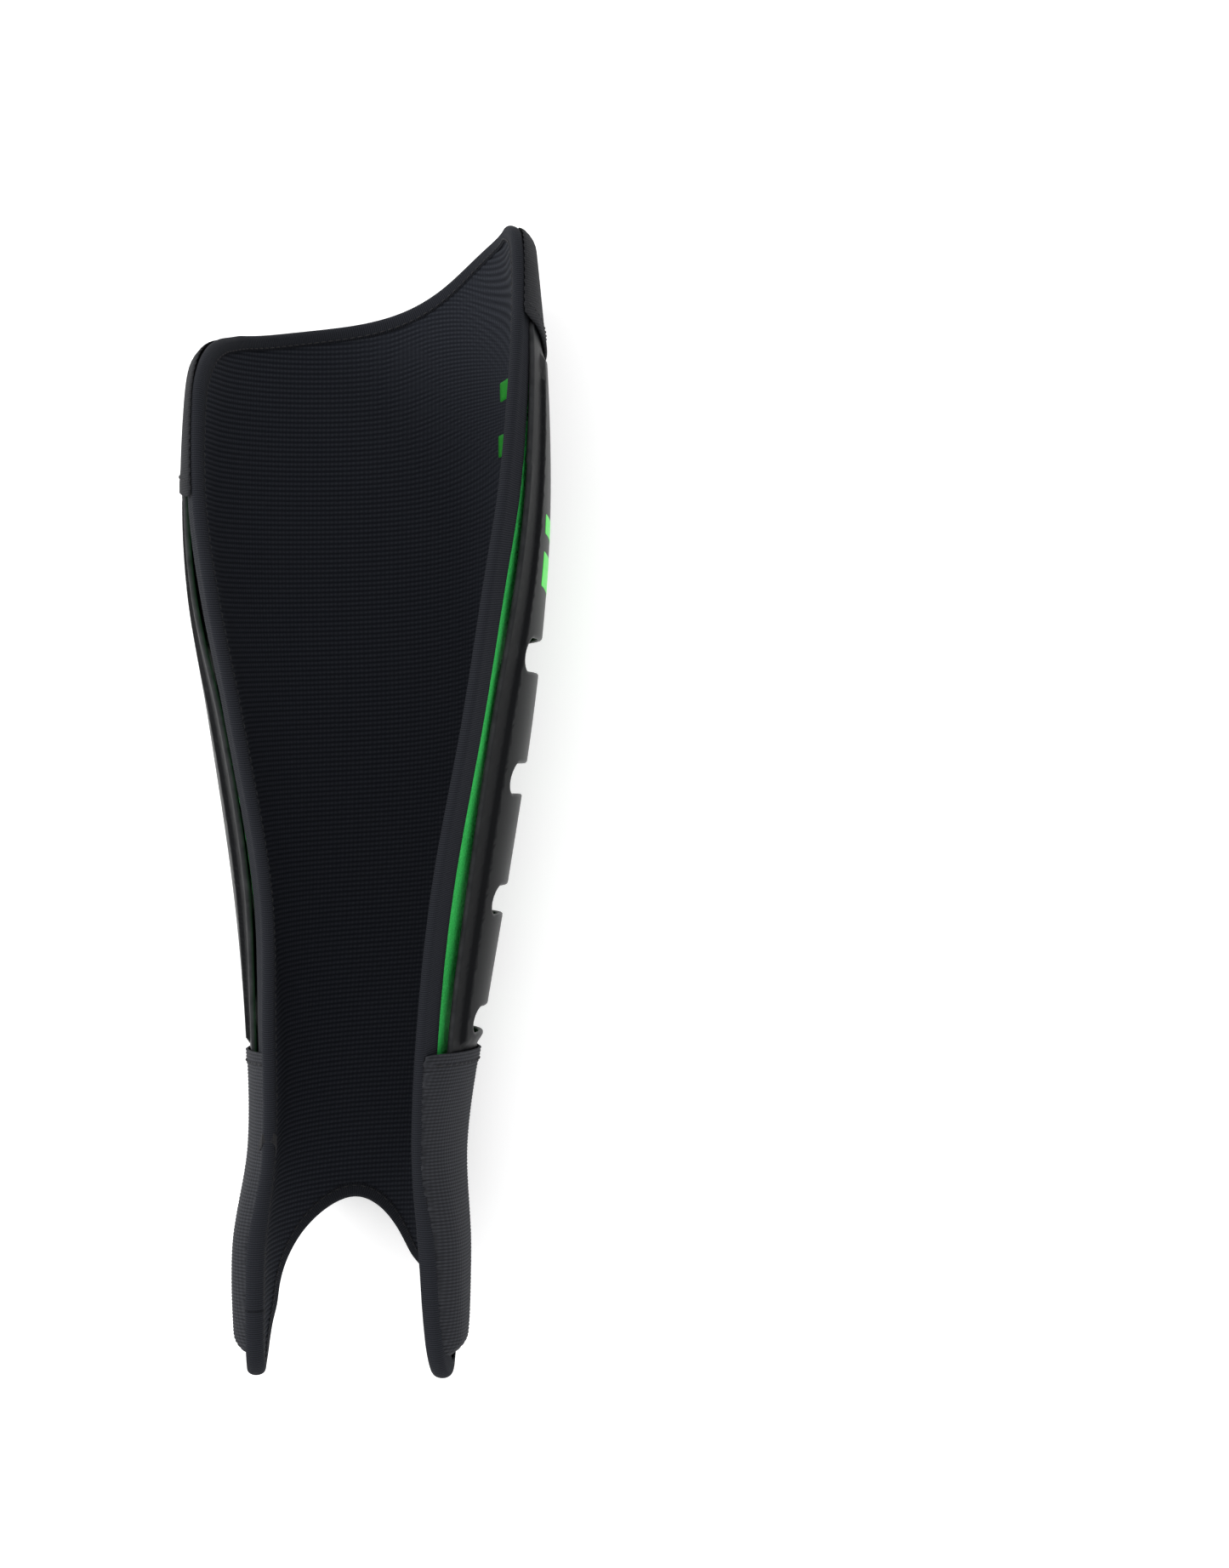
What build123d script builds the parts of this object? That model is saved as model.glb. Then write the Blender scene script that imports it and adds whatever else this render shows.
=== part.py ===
from build123d import *
from collections import namedtuple
from math import acos, atan2, cos, degrees, hypot, radians, sin, tan
import os

os.makedirs("parts", exist_ok=True)

# A field hockey shin guard lying on its front, hollow side up.
# +Z is up, +Y points to the knee end, +X to the side that carries the knee peak.
# Every cross-section is square to Y. Angles round a section start at the front
# ridge, which is the lowest line, and grow towards +X.

# ---- driving dimensions, mm ------------------------------------------------

RIDGE_FLAT = 0.6  # how much of the round front is taken off by the flat crown
SHELL_WALL = 2.0
PANEL_STEP = 1.4  # the raised panel stands this far out of the shell's flange
FLANGE_ANGLE = 9.0  # the flange between the panel and the rim, in degrees
BEAD_ANGLE = 2.4  # the bead along the shell's rims
BEAD_HEIGHT = 0.3
FABRIC = 1.0  # thickness of the cap and the ankle sleeve
FABRIC_GAP = 0.3  # room between a fabric pocket and the shell in it
LINING = 1.0
FOAM = 4.6
BOND = 0.05  # the glue between the lining and the foam
PAD_HALF = (LINING + FOAM) / 2
BINDING_RADIUS = 4.3

# One row for each cross-section: place along Y, outside radius, sideways place
# of the middle, radius of the middle of the pad, and height of its rear edges.
# Then, for the outer side and for the peak's side, the angle of the shell's rim
# and how far out from the middle the pad's rear edge is.
Section = namedtuple("Section", "y radius middle pad edge_z outer_rim outer_x peak_rim peak_x")
SECTIONS = [
    Section(214, 57.2, 0.3, 49.8, 62, 92, 52.2, 92, 53.7),
    Section(184, 60.6, 0.3, 52.8, 73, 98, 55.6, 99, 56.0),
    Section(152, 63.6, 0.3, 55.9, 83, 101, 57.4, 104, 55.7),
    Section(110, 65.0, 0.0, 57.2, 92, 105, 55.7, 110, 53.3),
    Section(75, 63.2, 0.0, 54.2, 96, 109.5, 50.4, 115, 48.3),
    Section(30, 57.4, 0.4, 47.3, 94, 121, 42.3, 122, 40.6),
    Section(-30, 48.9, -1.3, 39.4, 82, 124, 32.7, 125, 29.6),
    Section(-80, 42.9, -4.3, 32.6, 71, 115, 31.0, 124, 26.0),
    Section(-122, 39.8, -7.4, 30.8, 65, 112, 29.0, 118, 26.6),
    Section(-160, 43.1, -9.0, 34.0, 61.5, 112, 31.7, 116, 30.1),
    Section(-214, 41.6, -9.2, 34.6, 56, 104, 33.0, 104, 33.0),
]

# Outlines seen from above, as (x, y).
TOP_EDGE = [
    (-90, 158),
    (-60, 166),
    (-34, 173.8),
    (-12, 178.2),
    (10.8, 185.2),
    (24, 192.6),
    (41, 203.3),
    (60, 208),
    (90, 210),
]
ARCH = [
    (21.2, -196),
    (15.5, -176),
    (8, -162.3),
    (-1, -150.8),
    (-13.3, -145),
    (-25.5, -149.7),
    (-34.2, -158.5),
    (-39.8, -170.5),
    (-41.6, -196),
]
ARCH_TANGENTS = ((-0.18, 1), (0, -1))

# Outlines seen from the side, as (y, z).
OUTER_CORNER = [(178, 28), (169.5, 42), (165, 60), (158, 74), (147, 83.5), (110, 95)]
PEAK_CORNER = [(222, 34), (206, 50), (203, 60), (194, 69), (168, 78)]
LEG_NOSE = [(-168, 61), (-190, 57.5), (-204, 47.5), (-196, 37.5), (-176, 24)]

SHELL_INSET = 9.0  # the shell stops this far below the guard's top edge
SHELL_OUTER_CORNER = [(172, 14), (159, 32), (154, 50), (147, 64), (136, 75), (118, 88)]
SHELL_PEAK_CORNER = [(213, 27), (197, 41), (185, 56), (172, 68), (166, 80)]
SHELL_END = -134.0
CAP_DEPTH = 44.0
PANEL_TOP = 50.0  # the raised panel starts this far below the top edge
PANEL_END = -84.0
PANEL_WALL = 2.5  # width of the solid step round the panel's hollow back
SLEEVE_TOP = -87.0

SLOT_COUNT = 4
SLOT_FIRST = 52.9
SLOT_PITCH = 43.1
SLOT_FIRST_HEIGHT = 11.6
SLOT_TAPER = 0.8  # each slot is this much lower than the one above it
SLOT_LOW = 48.0  # the slots' ends, in degrees from the front ridge
SLOT_HIGH_PEAK_SIDE = 107.0
SLOT_HIGH_OUTER_SIDE = 72.0

CUP_LOW = 50.0
CUP_HIGH = 110.0
CUP_CENTRE = (-166.0, 45.0)
CUP_SIZE = (25.0, 17.5)
LEG_STEP = 7.0  # the sleeve ends this far above the leg ends
FABRIC_OFF_FLOOR = 0.2

MARK_BARS = [(96.0, 6.8), (83.0, 12.0)]  # each bar's knee end and its width
MARK_SLANT = -6.0
MARK_LOW = 34.0
MARK_HIGH = 72.0
MARK_THICK = 0.2

TAPE_JOIN = -118.0  # the binding's two ends meet here, on the outer side's rear edge
TAPE_GAP = 0.5
TACK_LENGTH = 4.0
TACK_THICK = 0.5
MIDDLE_Y = 2.01  # from the knee-to-ankle datum of the rows above to the guard's middle

FAR = 120.0  # beyond every surface of the guard


# ---- geometry shared by the pieces -----------------------------------------

def height(section):
    """Height of a section's centre over the floor."""
    return section.radius - RIDGE_FLAT


def end_row(last, inner):
    """A row past an end of the guard, in line with its two last rows."""
    return Section(*(2 * a - b for a, b in zip(last, inner)))


def between(y):
    """The section at any place along the guard, by a smooth curve through the rows."""
    rows = [end_row(*SECTIONS[:2]), *SECTIONS, end_row(*SECTIONS[:-3:-1])]
    i = sum(1 for row in rows[1:-2] if row.y > y)
    a, b, c, d = rows[max(0, i - 1) : max(0, i - 1) + 4]
    t = (y - b.y) / (c.y - b.y)
    span = c.y - b.y
    values = []
    for p, q, r, s in zip(a, b, c, d):
        start = (r - p) / (c.y - a.y) * span
        end = (s - q) / (d.y - b.y) * span
        values.append(
            q * (2 * t**3 - 3 * t**2 + 1)
            + start * (t**3 - 2 * t**2 + t)
            + r * (3 * t**2 - 2 * t**3)
            + end * (t**3 - t**2)
        )
    return Section(y, *values[1:])


def polar(section, radius, angle):
    """A point on a circle about the section's centre, as (x, z)."""
    turn = radians(angle)
    return (section.middle + radius * sin(turn), height(section) - radius * cos(turn))


def rim(section, side):
    """The angle of the shell's rim: side is -1 for the outer side, 1 for the peak's."""
    return section.peak_rim if side > 0 else section.outer_rim


def rear(section, side):
    """How far out the pad's rear edge is on one side."""
    return section.peak_x if side > 0 else section.outer_x


def lean(section, side):
    """The angle at which the pad leaves its circle for its straight flank."""
    rise = section.edge_z - height(section)
    reach = hypot(rear(section, side), rise)
    slope = degrees(atan2(rise, rear(section, side)))
    return 90 + slope - degrees(acos(min(1.0, section.pad / reach)))


def section_plane(y):
    return Plane.XZ.offset(-y)


def arc_band(section, outer, inner, start, end):
    """A closed arc band from one angle to another."""
    middle = (start + end) / 2
    with BuildSketch(section_plane(section.y)) as profile:
        with BuildLine():
            ThreePointArc(*[polar(section, outer, a) for a in (start, middle, end)])
            Line(polar(section, outer, end), polar(section, inner, end))
            ThreePointArc(*[polar(section, inner, a) for a in (end, middle, start)])
            Line(polar(section, inner, start), polar(section, outer, start))
        make_face()
    return profile.sketch


def flank(section, out, side):
    """One straight flank of the pad, this far out from its middle: arc end and rear edge."""
    angle = lean(section, side)
    turn = radians(angle)
    arc_end = polar(section, section.pad + out, side * angle)
    edge_x = section.middle + side * (rear(section, side) + out * sin(turn))
    return arc_end, (edge_x, section.edge_z - out * cos(turn))


def arched_band(section, outer, inner, right, left):
    """A closed band: two arcs about the section's centre, and a run of corners on each side."""
    with BuildSketch(section_plane(section.y)) as profile:
        with BuildLine():
            ThreePointArc(left[0], polar(section, outer, 0), right[0])
            Polyline(*right)
            ThreePointArc(right[-1], polar(section, inner, 0), left[-1])
            Polyline(*left[::-1])
        make_face()
    return profile.sketch


def pad_band(section, outer, inner):
    """The pad's band: an arc with a straight flank on each side."""
    ends = [flank(section, outer, side) + flank(section, inner, side)[::-1] for side in (1, -1)]
    return arched_band(section, section.pad + outer, section.pad + inner, *ends)


def tucked_band(section):
    """A fabric band that turns in over the shell's rim towards the pad's edge."""
    outer = section.radius
    inner = section.radius - FABRIC
    clear = BINDING_RADIUS + FABRIC_GAP
    ends = []
    for side in (1, -1):
        wrap = side * (rim(section, side) + 1)
        over = flank(section, clear + FABRIC, side)[1]
        under = flank(section, clear, side)[1]
        ends.append((polar(section, outer, wrap), over, under, polar(section, inner, wrap)))
    return arched_band(section, outer, inner, *ends)


def beyond_top(inset=0.0):
    """From above: what lies past the top edge after it is moved down by an inset."""
    points = [(x, y - inset) for x, y in TOP_EDGE]
    far_left, far_right = (points[0][0], 2 * FAR), (points[-1][0], 2 * FAR)
    with BuildSketch(Plane.XY.offset(-5)) as outline:
        with BuildLine():
            Spline(*points)
            Polyline(points[-1], far_right, far_left, points[0])
        make_face()
    return outline.sketch


def beyond_corner(points):
    """From the side: what lies past a rear corner of the top."""
    start, end = points[0], points[-1]
    with BuildSketch(Plane.YZ) as outline:
        with BuildLine():
            Spline(*points)
            Polyline(end, (end[0], FAR), (2 * FAR, FAR), (2 * FAR, start[1]), start)
        make_face()
    return outline.sketch


def arch_opening():
    """From above: the round-topped arch over the instep."""
    first, last = ARCH[0], ARCH[-1]
    with BuildSketch(Plane.XY.offset(-5)) as outline:
        with BuildLine():
            Spline(*ARCH, tangents=ARCH_TANGENTS)
            Polyline(last, (last[0], -2 * FAR), (first[0], -2 * FAR), first)
        make_face()
    return outline.sketch


def beyond_legs(shorten=0.0):
    """From the side: what lies past the rounded ends of the two ankle legs."""
    points = [(y + shorten, z) for y, z in LEG_NOSE]
    first, last = points[0], points[-1]
    far = ((last[0], -5), (-2 * FAR, -5), (-2 * FAR, FAR), (first[0], FAR))
    with BuildSketch(Plane.YZ) as outline:
        with BuildLine():
            Spline(*points)
            Polyline(last, *far, first)
        make_face()
    return outline.sketch


def trim_top(inset=0.0, outer_corner=OUTER_CORNER, peak_corner=PEAK_CORNER):
    """Cuts the current part along the guard's top edge and rounds its rear corners."""
    extrude(beyond_top(inset), amount=FAR, mode=Mode.SUBTRACT)
    extrude(beyond_corner(outer_corner), amount=-FAR, mode=Mode.SUBTRACT)
    extrude(beyond_corner(peak_corner), amount=FAR, mode=Mode.SUBTRACT)


def trim_ankle(shorten=0.0):
    """Cuts the instep arch and the rounded leg ends out of the current part."""
    extrude(beyond_legs(shorten), amount=FAR, both=True, mode=Mode.SUBTRACT)
    extrude(arch_opening(), amount=FAR, mode=Mode.SUBTRACT)


def trim_floor(level=0.0):
    """Takes away what would be below a level."""
    with BuildSketch(Plane.XY.offset(level)) as below:
        Rectangle(4 * FAR, 5 * FAR)
    extrude(below.sketch, amount=-FAR, mode=Mode.SUBTRACT)


# ---- shell -----------------------------------------------------------------

SHELL_OUT = -PANEL_STEP
SHELL_IN = SHELL_OUT - SHELL_WALL


def shell_end():
    """From above: what lies past the shell's lower end, inside the ankle sleeve."""
    left, top, right = (-FAR, SHELL_END - 24), (-8, SHELL_END + 14), (FAR, SHELL_END - 24)
    with BuildSketch(Plane.XY.offset(-5)) as outline:
        with BuildLine():
            ThreePointArc(left, top, right)
            Polyline(right, (FAR, -2 * FAR), (-FAR, -2 * FAR), left)
        make_face()
    return outline.sketch


def slot(index, side, high):
    """From the side: one vent slot, upright and round at both ends."""
    y = SLOT_FIRST - index * SLOT_PITCH
    section = between(y)
    low_z = polar(section, section.radius, SLOT_LOW)[1]
    high_z = polar(section, section.radius, high)[1]
    with BuildSketch(Plane.YZ.offset(side * 4)) as outline:
        with Locations((y, (low_z + high_z) / 2)):
            SlotOverall(high_z - low_z, SLOT_FIRST_HEIGHT - index * SLOT_TAPER, rotation=90)
    return outline.sketch


def rimmed_band(section):
    """The shell's wall with a low bead along both rims."""
    wall = section.radius + SHELL_OUT
    bead = wall + BEAD_HEIGHT
    inner = section.radius + SHELL_IN
    feet = [side * (rim(section, side) - BEAD_ANGLE) for side in (-1, 1)]
    rims = [side * rim(section, side) for side in (-1, 1)]
    with BuildSketch(section_plane(section.y)) as profile:
        with BuildLine():
            ThreePointArc(*[polar(section, wall, a) for a in (feet[0], 0, feet[1])])
            for foot, end in zip(feet, rims):
                Line(polar(section, wall, foot), polar(section, bead, foot))
                ThreePointArc(*[polar(section, bead, a) for a in (foot, (foot + end) / 2, end)])
                Line(polar(section, bead, end), polar(section, inner, end))
            ThreePointArc(*[polar(section, inner, a) for a in (rims[0], 0, rims[1])])
        make_face()
    return profile.sketch


def shell_band(section, outer, inner, start, end):
    return arc_band(section, section.radius + outer, section.radius + inner, start, end)


def panel_band(outer, inner, margin):
    """The stretch of the shell's front and flanks that is raised, between two radii."""
    with BuildPart() as band:
        reach = FLANGE_ANGLE + margin
        loft([shell_band(s, outer, inner, reach - s.outer_rim, s.peak_rim - reach) for s in SECTIONS])
        extrude(beyond_top(PANEL_TOP + margin), amount=FAR, mode=Mode.SUBTRACT)
        with BuildSketch(Plane.XY.offset(-5)):
            with Locations((0, PANEL_END + margin)):
                Rectangle(2 * FAR, 2 * FAR, align=(Align.CENTER, Align.MAX))
        extrude(amount=FAR, mode=Mode.SUBTRACT)
    return band.part


with BuildPart() as shell:
    loft([rimmed_band(s) for s in SECTIONS])
    trim_top(SHELL_INSET, SHELL_OUTER_CORNER, SHELL_PEAK_CORNER)
    extrude(shell_end(), amount=FAR, mode=Mode.SUBTRACT)
    add(panel_band(0, SHELL_OUT - 0.5, 0))
    add(panel_band(-SHELL_WALL, SHELL_IN - 1, PANEL_WALL), mode=Mode.SUBTRACT)
    for i in range(SLOT_COUNT):
        extrude(slot(i, 1, SLOT_HIGH_PEAK_SIDE), amount=FAR, mode=Mode.SUBTRACT)
        extrude(slot(i, -1, SLOT_HIGH_OUTER_SIDE), amount=-FAR, mode=Mode.SUBTRACT)
    trim_floor()

# ---- printed mark on the shell ----------------------------------------------

with BuildPart() as shell_mark:
    mark_end = FLANGE_ANGLE + 2
    loft([shell_band(s, MARK_THICK, BOND, 55, s.peak_rim - mark_end) for s in SECTIONS])
    with BuildSketch(Plane.YZ):
        for y, width in MARK_BARS:
            with BuildLine():
                Polyline(
                    (y, MARK_LOW),
                    (y - MARK_SLANT, MARK_HIGH),
                    (y - MARK_SLANT - width, MARK_HIGH),
                    (y - width, MARK_LOW),
                    close=True,
                )
            make_face()
    extrude(amount=FAR, mode=Mode.INTERSECT)

# ---- pad: green foam with a knit lining on the leg side ----------------------

with BuildPart() as foam:
    loft([pad_band(s, PAD_HALF, LINING - PAD_HALF) for s in SECTIONS])
    trim_top()
    trim_ankle()

with BuildPart() as lining:
    loft([pad_band(s, LINING - PAD_HALF - BOND, -PAD_HALF) for s in SECTIONS])
    trim_top()
    trim_ankle()

# ---- fabric pockets ----------------------------------------------------------

with BuildPart() as cap:
    loft([tucked_band(s) for s in SECTIONS])
    trim_top()
    extrude(beyond_top(CAP_DEPTH), amount=FAR, mode=Mode.INTERSECT)
    trim_floor(FABRIC_OFF_FLOOR)

with BuildPart() as sleeve:
    loft([tucked_band(s) for s in SECTIONS])
    trim_ankle(LEG_STEP)
    with BuildSketch(Plane.XY.offset(-5)):
        with Locations((0, SLEEVE_TOP)):
            Rectangle(2 * FAR, 4 * FAR, align=(Align.CENTER, Align.MIN))
    extrude(amount=FAR, mode=Mode.SUBTRACT)
    trim_floor(FABRIC_OFF_FLOOR)


def cup_band(section, side):
    outer = section.radius - FABRIC - FABRIC_GAP
    inner = section.pad + PAD_HALF + 2 * FABRIC_GAP
    start, end = sorted((side * CUP_LOW, side * CUP_HIGH))
    return arc_band(section, outer, inner, start, end)


def ankle_cup(side):
    """A foam cup over one ankle bone, inside the sleeve."""
    with BuildPart() as cup:
        loft([cup_band(s, side) for s in SECTIONS])
        with BuildSketch(Plane.YZ):
            with Locations(CUP_CENTRE):
                Ellipse(*CUP_SIZE)
        extrude(amount=side * FAR, mode=Mode.INTERSECT)
    return cup.part


outer_cup = ankle_cup(-1)
peak_cup = ankle_cup(1)

# ---- edge binding --------------------------------------------------------------


def pad_point(y, z, side):
    """The point of the pad's middle surface at this place and height on one flank."""
    section = between(y)
    arc_end, edge = flank(section, 0, side)
    if z > arc_end[1]:
        share = (z - arc_end[1]) / (edge[1] - arc_end[1])
        return Vector(arc_end[0] + share * (edge[0] - arc_end[0]), y, z)
    reach = (section.pad**2 - (z - height(section)) ** 2) ** 0.5
    return Vector(section.middle + side * reach, y, z)


def pad_under(point):
    """The point of the pad's middle surface under a point of a plan outline."""
    section = between(point.Y)
    reach = point.X - section.middle
    return Vector(point.X, point.Y, height(section) - (section.pad**2 - reach**2) ** 0.5)


def rear_edge(y, side):
    return pad_point(y, between(y).edge_z, side)


def on_curve(curve, shares):
    return [curve @ share for share in shares]


with BuildLine(mode=Mode.PRIVATE) as top_curve:
    Spline(*TOP_EDGE)
with BuildLine(mode=Mode.PRIVATE) as arch_curve:
    Spline(*ARCH, tangents=ARCH_TANGENTS)


def leg_nose(side):
    """Round one leg end, from its rear edge to its front edge."""
    return [pad_point(y, z, side) for y, z in LEG_NOSE[1:-1]]


EDGE_STEPS = (110, 75, 30, 0, -30, -80)
up_outer_side = [rear_edge(y, -1) for y in (TAPE_JOIN, *EDGE_STEPS[::-1])]
round_outer_corner = [pad_point(y, z, -1) for y, z in OUTER_CORNER[-2:0:-1]]
over_top = [pad_under(p) for p in on_curve(top_curve.line, (0.32, 0.46, 0.6, 0.7))]
round_peak = [pad_point(y, z, 1) for y, z in PEAK_CORNER[1:]]
down_peak_side = [rear_edge(y, 1) for y in (*EDGE_STEPS, TAPE_JOIN, -158)]
under_arch = [pad_under(p) for p in on_curve(arch_curve.line, (0.2, 0.35, 0.5, 0.65, 0.8))]
back_to_join = [rear_edge(y, -1) for y in (-158, TAPE_JOIN - TAPE_GAP)]
route = (
    up_outer_side
    + round_outer_corner
    + over_top
    + round_peak
    + down_peak_side
    + leg_nose(1)
    + under_arch
    + leg_nose(-1)[::-1]
    + back_to_join
)


def bend_radii(points):
    """For each corner, the arc that takes nine tenths of half the shorter run."""
    radii = []
    for before, point, after in zip(points, points[1:], points[2:]):
        turn = radians((point - before).get_angle(after - point))
        run = min((point - before).length, (after - point).length)
        radii.append(0.45 * run / tan(turn / 2))
    return radii


with BuildLine(mode=Mode.PRIVATE) as tape_route:
    FilletPolyline(*route, radius=bend_radii(route))

with BuildPart() as pad:
    loft([pad_band(s, PAD_HALF, -PAD_HALF) for s in SECTIONS])
    trim_top()
    trim_ankle()

with BuildPart() as binding:
    with BuildSketch(Plane(route[0], z_dir=route[1] - route[0])):
        Circle(BINDING_RADIUS)
    sweep(path=tape_route.line)
    add(pad.part, mode=Mode.SUBTRACT)

# ---- bar tack over the join of the binding's two ends ----------------------------

tack_start, tack_end = (rear_edge(TAPE_JOIN - TACK_LENGTH * share, -1) for share in (0.2, 1.2))

with BuildPart() as tack:
    with BuildSketch(Plane(tack_start, z_dir=tack_end - tack_start)):
        Circle(BINDING_RADIUS + TACK_THICK)
    extrude(amount=(tack_end - tack_start).length)
    add(pad.part, mode=Mode.SUBTRACT)
    add(binding.part, mode=Mode.SUBTRACT)

PIECES = {
    "shell": shell.part,
    "shell_mark": shell_mark.part,
    "shin_foam": foam.part,
    "lining": lining.part,
    "edge_binding": binding.part,
    "binding_tack": tack.part,
    "top_cap": cap.part,
    "ankle_sleeve": sleeve.part,
    "outer_ankle_cup": outer_cup,
    "peak_side_ankle_cup": peak_cup,
}
for name, piece in PIECES.items():
    placed = piece.moved(Location((0, -MIDDLE_Y, 0)))
    placed.label = name
    export_step(placed, f"parts/{name}.step")
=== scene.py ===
from collections import namedtuple
from math import cos, pi, radians, sin

import bpy
import numpy as np
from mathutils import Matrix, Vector, kdtree
from mathutils.geometry import delaunay_2d_cdt


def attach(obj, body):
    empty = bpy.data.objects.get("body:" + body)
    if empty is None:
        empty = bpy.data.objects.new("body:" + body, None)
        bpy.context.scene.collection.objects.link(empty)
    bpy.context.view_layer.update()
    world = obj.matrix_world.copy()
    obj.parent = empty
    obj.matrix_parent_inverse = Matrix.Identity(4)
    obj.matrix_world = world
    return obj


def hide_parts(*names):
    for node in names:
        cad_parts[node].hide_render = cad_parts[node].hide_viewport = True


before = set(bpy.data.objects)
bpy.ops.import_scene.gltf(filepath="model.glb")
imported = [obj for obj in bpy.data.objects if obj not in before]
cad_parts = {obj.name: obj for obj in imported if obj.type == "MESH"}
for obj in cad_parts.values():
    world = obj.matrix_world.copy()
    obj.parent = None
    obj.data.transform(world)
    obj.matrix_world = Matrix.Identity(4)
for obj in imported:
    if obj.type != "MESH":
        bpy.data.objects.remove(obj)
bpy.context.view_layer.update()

# A field hockey shin guard on its front, hollow side up. Lengths in this script
# are millimetres, and MM turns them into metres where a mesh is made.
# Every soft or moulded piece is a sheet laid out flat: s runs round the leg from
# the front ridge, positive on the side with the knee peak, and y runs up the
# shin. A wrap turns (s, y) and a distance out from its surface into a place.

MM = 0.001
MIDDLE_Y = 2.01  # from the knee-to-ankle datum of the rows to the guard's middle

# ---- the guard's shape, as in the frame ----

RIDGE_FLAT = 0.6
SHELL_WALL = 2.0
PANEL_STEP = 1.4
PANEL_SOFT = 0.75  # half the width of the step round the panel
FLANGE_ANGLE = 9.0
BEAD_HEIGHT = 0.35
BEAD_REACH = (1.4, 2.3)
BEAD_TOP = 118
PAD_HALF = 2.8
LINING = 1.0
FABRIC = 1.0

# y, radius, middle, pad radius, height of the rear edge, then for the outer side
# and for the peak side: the shell's rim angle and how far out the rear edge is
ROWS = [
    (-214, 41.6, -9.2, 34.6, 56, 104, 33.0, 104, 33.0),
    (-160, 43.1, -9.0, 34.0, 61.5, 112, 31.7, 116, 30.1),
    (-122, 39.8, -7.4, 30.8, 65, 112, 29.0, 118, 26.6),
    (-80, 42.9, -4.3, 32.6, 71, 115, 31.0, 124, 26.0),
    (-30, 48.9, -1.3, 39.4, 82, 124, 32.7, 125, 29.6),
    (30, 57.4, 0.4, 47.3, 94, 121, 42.3, 122, 40.6),
    (75, 63.2, 0.0, 54.2, 96, 109.5, 50.4, 115, 48.3),
    (110, 65.0, 0.0, 57.2, 92, 105, 55.7, 110, 53.3),
    (152, 63.6, 0.3, 55.9, 83, 101, 57.4, 104, 55.7),
    (184, 60.6, 0.3, 52.8, 73, 98, 55.6, 99, 56.0),
    (214, 57.2, 0.3, 49.8, 62, 92, 52.2, 92, 53.7),
]
TOP_EDGE = [
    (-90, 158), (-60, 166), (-34, 173.8), (-12, 178.2), (10.8, 185.2), (24, 192.6), (41, 203.3),
    (60, 208), (90, 210),
]
ARCH = [
    (21.2, -196), (15.5, -176), (8, -162.3), (-1, -150.8), (-13.3, -145), (-25.5, -149.7),
    (-34.2, -158.5), (-39.8, -170.5), (-41.6, -196),
]
ARCH_TANGENTS = ((-0.18, 1), (0, -1))
OUTER_CORNER = [(110, 95), (147, 83.5), (158, 74), (165, 60), (169.5, 42), (178, 28)]
PEAK_CORNER = [(222, 34), (206, 50), (203, 60), (194, 69), (168, 78)]
LEG_NOSE = [
    (-168, 61), (-190, 57.5), (-200.5, 53), (-204.5, 47.5), (-202.5, 42), (-196, 37.5), (-184, 31),
    (-168, 16),
]

SHELL_INSET = 9.0
SHELL_OUTER_CORNER = [(118, 88), (136, 75), (147, 64), (154, 50), (159, 32), (172, 14)]
SHELL_PEAK_CORNER = [(213, 27), (197, 41), (185, 56), (172, 68), (166, 80)]
SHELL_END = -134.0
END_RISE = 14  # the shell's lower end curves up to the ridge
PANEL_TOP = 50.0
PANEL_END = -84.0
SLOT_COUNT = 4
SLOT_FIRST = 52.9
SLOT_PITCH = 43.1
SLOT_HEIGHT = 11.6
SLOT_TAPER = 0.8
SLOT_LOW = 48.0
SLOT_HIGH = {1: 107.0, -1: 72.0}
MARK_BARS = [(96.0, 6.8), (83.0, 12.0)]
MARK_SLANT = -6.0
MARK_LOW = 34.0
MARK_HIGH = 72.0
TAPE_JOIN = -118.0

PAST = 240.0  # beyond both ends of the guard

Section = namedtuple("Section", "radius middle rim pad height lean arc half edge_z")


def padded_rows():
    """The rows with one more past each end, in line with the last two."""
    rows = np.array(ROWS, float)
    return np.vstack([2 * rows[0] - rows[1], rows, 2 * rows[-1] - rows[-2]])


ALL_ROWS = padded_rows()


def section(y, side):
    """The guard's section at each y, by a smooth curve through the rows.

    side is below 0 for the outer flank and above 0 for the peak's flank."""
    y = np.clip(np.asarray(y, float), ROWS[0][0] - 20, ROWS[-1][0] + 20)
    i = np.clip(np.searchsorted(ALL_ROWS[:, 0], y) - 1, 1, len(ALL_ROWS) - 3)
    a, b, c, d = (ALL_ROWS[i + k] for k in (-1, 0, 1, 2))
    span = (c - b)[..., :1]
    t = (y - b[..., 0])[..., None] / span
    start = (c - a) / (c - a)[..., :1] * span
    end = (d - b) / (d - b)[..., :1] * span
    row = (
        b * (2 * t**3 - 3 * t**2 + 1)
        + start * (t**3 - 2 * t**2 + t)
        + c * (3 * t**2 - 2 * t**3)
        + end * (t**3 - t**2)
    )
    radius, middle, pad, edge_z, outer_rim, outer_x, peak_rim, peak_x = np.moveaxis(row, -1, 0)[1:]
    outer = np.asarray(side) < 0
    rim = np.radians(np.where(outer, outer_rim, peak_rim))
    edge_x = np.where(outer, outer_x, peak_x)
    height = radius - RIDGE_FLAT
    rise = edge_z - height
    reach = np.hypot(edge_x, rise)
    lean = pi / 2 + np.arctan2(rise, edge_x) - np.arccos(np.minimum(1, pad / reach))
    flank = np.sqrt(np.maximum(0, reach**2 - pad**2))
    arc = pad * lean
    return Section(radius, middle, rim, pad, height, lean, arc, arc + flank, edge_z)


def step_up(value, start, end):
    """Smoothly from 0 at start to 1 at end."""
    t = np.clip((value - start) / (end - start), 0, 1)
    return t * t * (3 - 2 * t)


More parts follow.
